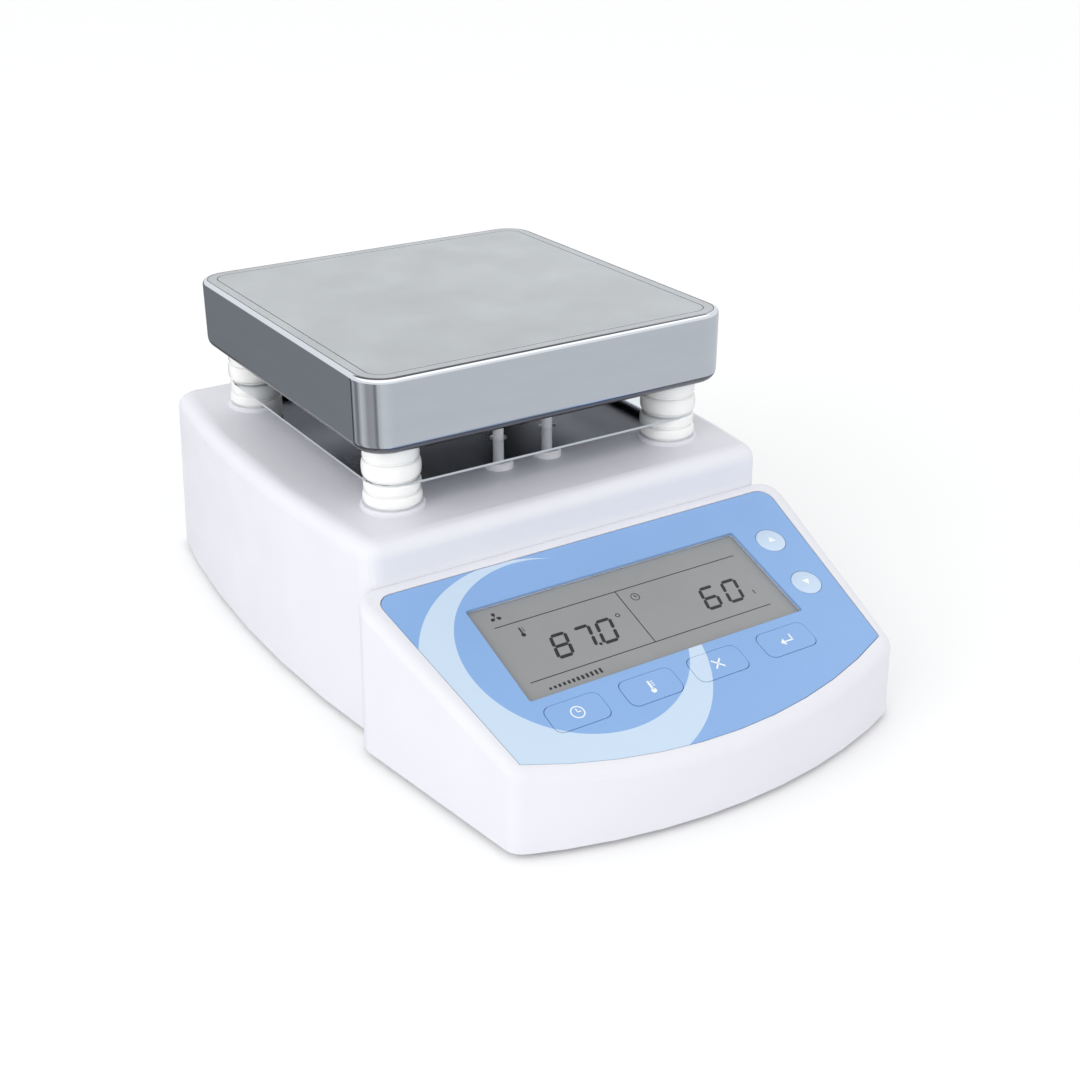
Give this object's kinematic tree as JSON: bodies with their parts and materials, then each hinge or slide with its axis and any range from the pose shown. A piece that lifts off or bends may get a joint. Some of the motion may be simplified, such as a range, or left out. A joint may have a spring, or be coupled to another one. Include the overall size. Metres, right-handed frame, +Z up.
{
  "type": "magnetic stirrer",
  "caption": "Bench magnetic stirrer with a square heated steel plate on porcelain stand-offs, a moulded white housing and a sloping blue keypad with a display.",
  "frame": {"origin": "on the bench, in the middle of the object's footprint", "axes": "+X to the user's right, +Y to the back, +Z up"},
  "size_m": [0.1808, 0.29, 0.125],
  "materials": {
    "white_moulding": "fine-grained satin injection moulding",
    "stainless_steel": "satin top face, polished skirt",
    "mirror_steel": "mirror polished sheet",
    "cast_aluminium": "as cast and machined",
    "zinc_plated_steel": "bright zinc plating",
    "ceramic_fibre": "soft fibrous board",
    "porcelain": "white glaze",
    "overlay_film": "printed polyester film",
    "key_film": "printed polyester film, embossed",
    "display_glass": "reflective liquid crystal display",
    "black_plastic": "moulded black thermoplastic",
    "rocker_plastic": "polished black thermoplastic",
    "circuit_board": "green solder mask",
    "ferrite": "ground ferrite",
    "laminated_steel": "varnished laminations",
    "brass": "plain brass",
    "lead_sleeve": "braided glass-fibre sleeve",
    "grommet_white": "heat-resistant moulding",
    "foot_rubber": "soft black rubber"
  },
  "bodies": {
    "chassis": {"upper_housing": "white_moulding", "base_plate": "white_moulding", "hotplate_cap": "stainless_steel", "heater_plate": "cast_aluminium", "heating_element": "zinc_plated_steel", "insulation_pad": "ceramic_fibre", "hotplate_bottom_cover": "zinc_plated_steel", "temperature_sensor": "zinc_plated_steel", "heat_shield": "mirror_steel", "panel_overlay": "overlay_film", "display_glass": "display_glass", "display_frame": "black_plastic", "control_board": "circuit_board", "motor": "cast_aluminium", "motor_bracket": "zinc_plated_steel", "power_board": "circuit_board", "transformer": "laminated_steel", "power_inlet": "black_plastic", "neutral_pin": "brass", "earth_pin": "brass", "line_pin": "brass", "power_switch_frame": "black_plastic", "heater_lead_sleeve_left": "lead_sleeve", "heater_lead_sleeve_right": "lead_sleeve", "lead_grommet_left": "grommet_white", "lead_grommet_right": "grommet_white", "foot_front_left": "foot_rubber", "upper_insulator_front_left": "porcelain", "lower_insulator_front_left": "porcelain", "stud_front_left": "zinc_plated_steel", "stud_nut_front_left": "zinc_plated_steel", "foot_front_right": "foot_rubber", "upper_insulator_front_right": "porcelain", "lower_insulator_front_right": "porcelain", "stud_front_right": "zinc_plated_steel", "stud_nut_front_right": "zinc_plated_steel", "foot_rear_left": "foot_rubber", "upper_insulator_rear_left": "porcelain", "lower_insulator_rear_left": "porcelain", "stud_rear_left": "zinc_plated_steel", "stud_nut_rear_left": "zinc_plated_steel", "foot_rear_right": "foot_rubber", "upper_insulator_rear_right": "porcelain", "lower_insulator_rear_right": "porcelain", "stud_rear_right": "zinc_plated_steel", "stud_nut_rear_right": "zinc_plated_steel"},
    "up_key": {"up_key": "key_film"},
    "down_key": {"down_key": "key_film"},
    "time_key": {"time_key": "overlay_film"},
    "temperature_key": {"temperature_key": "overlay_film"},
    "exit_key": {"exit_key": "overlay_film"},
    "enter_key": {"enter_key": "overlay_film"},
    "power_switch_rocker": {"power_switch_rocker": "rocker_plastic"},
    "fuse_drawer": {"fuse_drawer": "black_plastic"},
    "magnet_rotor": {"rotor_shaft": "zinc_plated_steel", "magnet_yoke": "zinc_plated_steel", "drive_magnet_left": "ferrite", "drive_magnet_right": "ferrite"}
  },
  "joints": [
    {"name": "up_key_press", "type": "slide", "parent": "chassis", "child": "up_key", "axis": [0, 0.3267, -0.9451], "range_m": [0, 0.0005], "stiffness_N_per_m": 400},
    {"name": "down_key_press", "type": "slide", "parent": "chassis", "child": "down_key", "axis": [0, 0.3267, -0.9451], "range_m": [0, 0.0005], "stiffness_N_per_m": 400},
    {"name": "time_key_press", "type": "slide", "parent": "chassis", "child": "time_key", "axis": [0, 0.3267, -0.9451], "range_m": [0, 0.0005], "stiffness_N_per_m": 400},
    {"name": "temperature_key_press", "type": "slide", "parent": "chassis", "child": "temperature_key", "axis": [0, 0.3267, -0.9451], "range_m": [0, 0.0005], "stiffness_N_per_m": 400},
    {"name": "exit_key_press", "type": "slide", "parent": "chassis", "child": "exit_key", "axis": [0, 0.3267, -0.9451], "range_m": [0, 0.0005], "stiffness_N_per_m": 400},
    {"name": "enter_key_press", "type": "slide", "parent": "chassis", "child": "enter_key", "axis": [0, 0.3267, -0.9451], "range_m": [0, 0.0005], "stiffness_N_per_m": 400},
    {"name": "power_switch_tilt", "type": "hinge", "parent": "chassis", "child": "power_switch_rocker", "pos_m": [-0.024, 0.1284, 0.03], "axis": [-1, 0, 0], "range_deg": [-20, 0]},
    {"name": "fuse_drawer_slide", "type": "slide", "parent": "chassis", "child": "fuse_drawer", "axis": [0, 1, 0], "range_m": [0, 0.012]},
    {"name": "magnet_rotor_spin", "type": "hinge", "parent": "chassis", "child": "magnet_rotor", "pos_m": [0, 0.04, 0.05], "axis": [0, 0, 1], "continuous": true}
  ]
}
